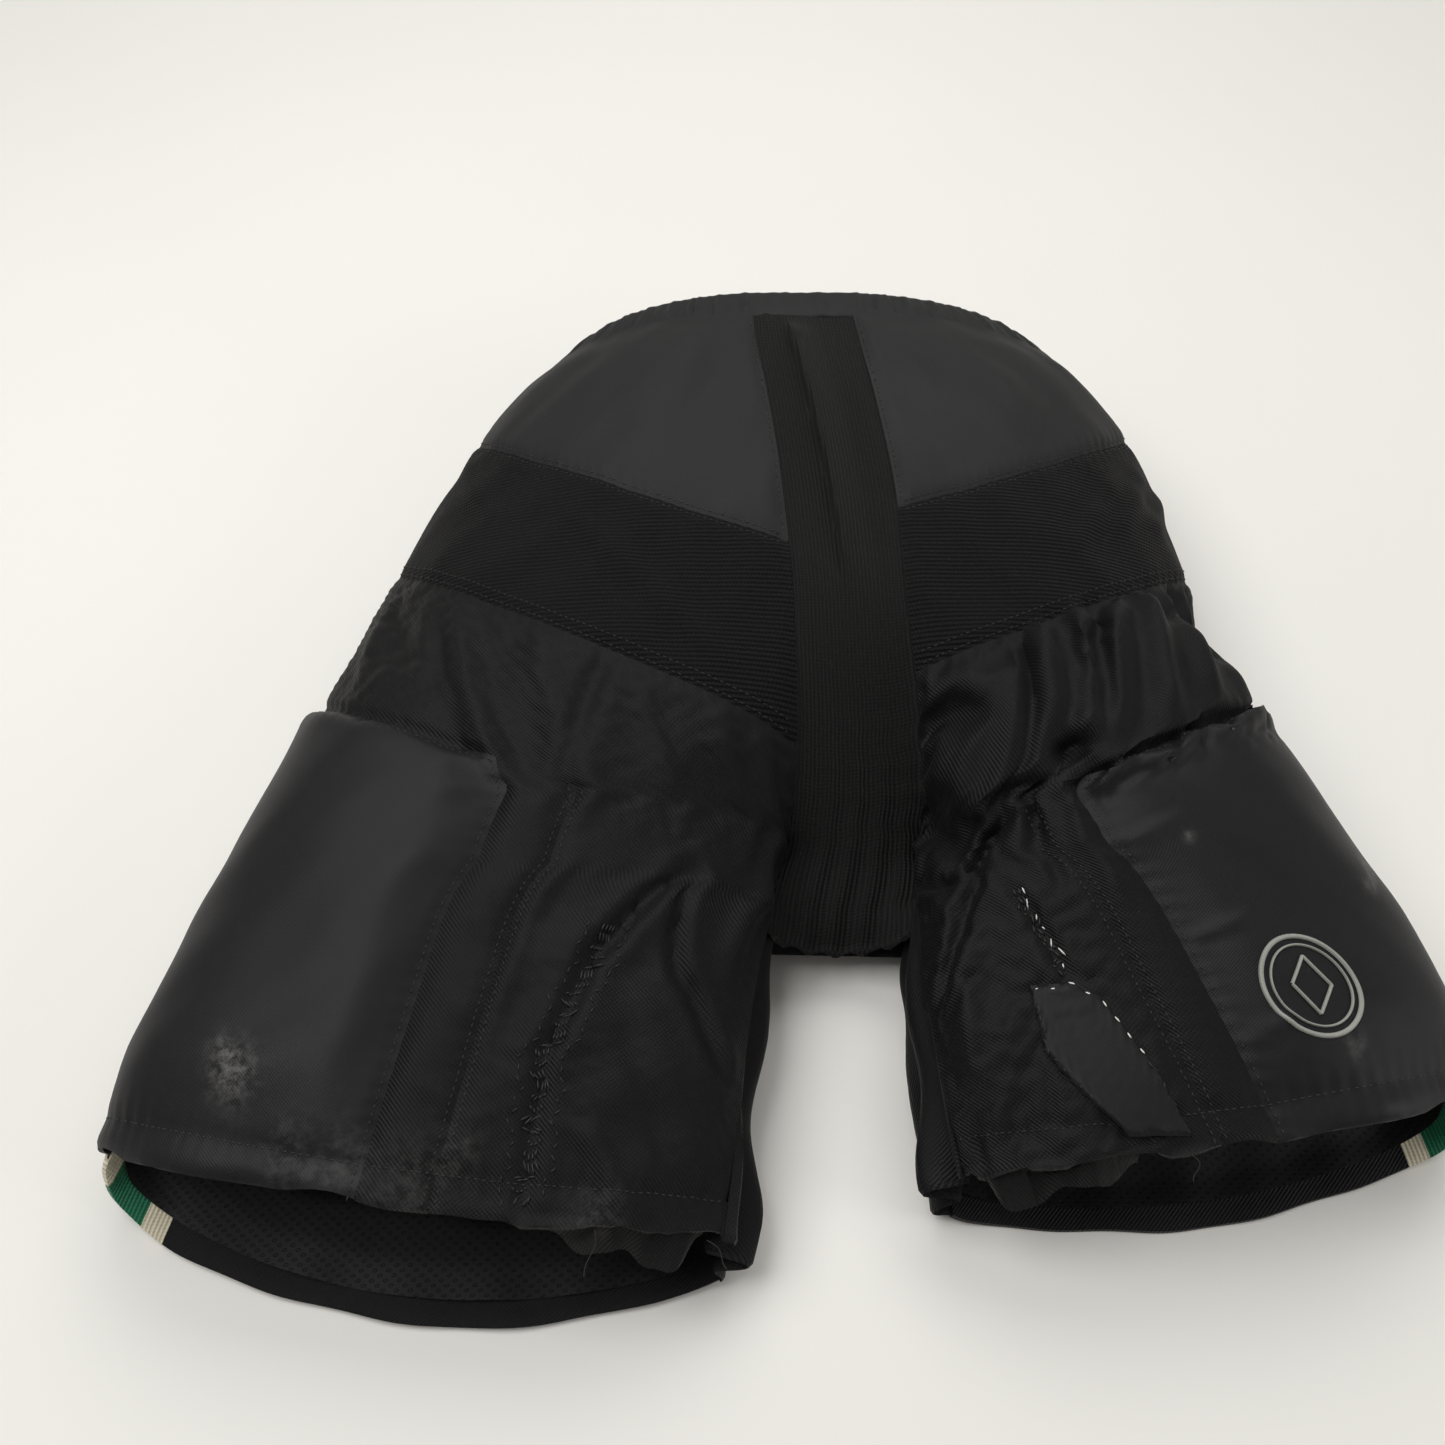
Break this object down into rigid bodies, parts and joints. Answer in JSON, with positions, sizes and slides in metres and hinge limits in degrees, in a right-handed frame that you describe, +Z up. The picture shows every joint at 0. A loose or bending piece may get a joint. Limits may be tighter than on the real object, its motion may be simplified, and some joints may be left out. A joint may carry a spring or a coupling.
{
  "type": "padded ice hockey pants",
  "caption": "Black padded ice hockey pants lying on their front, with foam pads in pockets, stretch bands over the seat, mesh liners and a waist belt.",
  "frame": {"origin": "middle of the ground the pants cover, on the surface they lie on", "axes": "+Z up, away from the surface, so the back of the pants faces up; +Y from the leg hems towards the waist; +X towards the wearer's right leg"},
  "size_m": [0.7683, 0.675, 0.1648],
  "materials": {
    "twill": "matt black nylon twill with a fine diagonal weave",
    "pocket_nylon": "smooth black nylon, slightly scuffed",
    "yoke_nylon": "smooth charcoal nylon, faint satin",
    "mesh_knit": "black stretch mesh knit in fine horizontal ribs",
    "rib_knit": "black stretch rib knit",
    "liner_mesh": "black mesh with small oval holes",
    "webbing": "black woven belt webbing",
    "cream_tape": "cream knit tape",
    "green_tape": "dark green knit tape",
    "foam": "fabric-covered closed-cell foam, grey",
    "hard_plastic": "matt moulded polyethylene",
    "hardware": "worn nickel",
    "badge_thread": "light grey embroidery thread"
  },
  "bodies": {
    "seat": {"seat_strip": "rib_knit", "crotch_gusset": "rib_knit", "front_rise": "twill", "stretch_band_left": "mesh_knit", "stretch_band_right": "mesh_knit", "front_band_left": "mesh_knit", "front_band_right": "mesh_knit"},
    "hips": {"waistband": "yoke_nylon", "tail_pad": "foam", "fly_facing": "twill", "buckle_frame": "hardware", "yoke_left": "yoke_nylon", "yoke_right": "yoke_nylon", "front_hip_left": "yoke_nylon", "front_hip_right": "yoke_nylon", "kidney_pad_left": "foam", "kidney_pad_right": "foam", "hip_pad_left": "foam", "hip_pad_right": "foam", "belt_left": "webbing", "belt_right": "webbing", "eyelet_left_1": "hardware", "eyelet_left_2": "hardware", "eyelet_right_1": "hardware", "eyelet_right_2": "hardware"},
    "left_leg": {"thigh_gather_left": "twill", "back_leg_left": "twill", "channel_cover_left": "twill", "pad_pocket_left": "pocket_nylon", "front_gather_left": "twill", "stripe_cream_outer_left": "cream_tape", "stripe_green_left": "green_tape", "stripe_cream_inner_left": "cream_tape", "front_leg_left": "twill", "inner_leg_left": "twill", "thigh_pad_left": "foam", "thigh_cap_left": "hard_plastic", "front_thigh_pad_left": "foam", "liner_back_left": "liner_mesh", "liner_front_left": "liner_mesh"},
    "right_leg": {"thigh_gather_right": "twill", "back_leg_right": "twill", "channel_cover_right": "twill", "pad_pocket_right": "pocket_nylon", "front_gather_right": "twill", "stripe_cream_outer_right": "cream_tape", "stripe_green_right": "green_tape", "stripe_cream_inner_right": "cream_tape", "front_leg_right": "twill", "inner_leg_right": "twill", "thigh_pad_right": "foam", "thigh_cap_right": "hard_plastic", "front_thigh_pad_right": "foam", "liner_back_right": "liner_mesh", "liner_front_right": "liner_mesh", "mending_patch": "twill", "badge": "badge_thread"},
    "buckle_tongue": {"buckle_tongue": "hardware"}
  },
  "joints": [
    {"name": "waist_fold", "type": "hinge", "parent": "seat", "child": "hips", "pos_m": [0.02, 0.088, 0.001], "axis": [1, 0, 0], "range_deg": [-10, 25], "deforming": ["seat_strip", "stretch_band_left", "stretch_band_right", "front_band_left", "front_band_right"]},
    {"name": "left_leg_swing", "type": "hinge", "parent": "seat", "child": "left_leg", "pos_m": [-0.011, -0.118, 0], "axis": [0, 0, -1], "range_deg": [-8, 10], "deforming": ["thigh_gather_left", "front_gather_left"]},
    {"name": "right_leg_swing", "type": "hinge", "parent": "seat", "child": "right_leg", "pos_m": [0.077, -0.114, 0], "axis": [0, 0, 1], "range_deg": [-8, 10], "deforming": ["thigh_gather_right", "front_gather_right"]},
    {"name": "buckle_tongue_turn", "type": "hinge", "parent": "hips", "child": "buckle_tongue", "pos_m": [0.00601, 0.324, 0.0062], "axis": [0, -1, 0], "range_deg": [0, 100]}
  ]
}
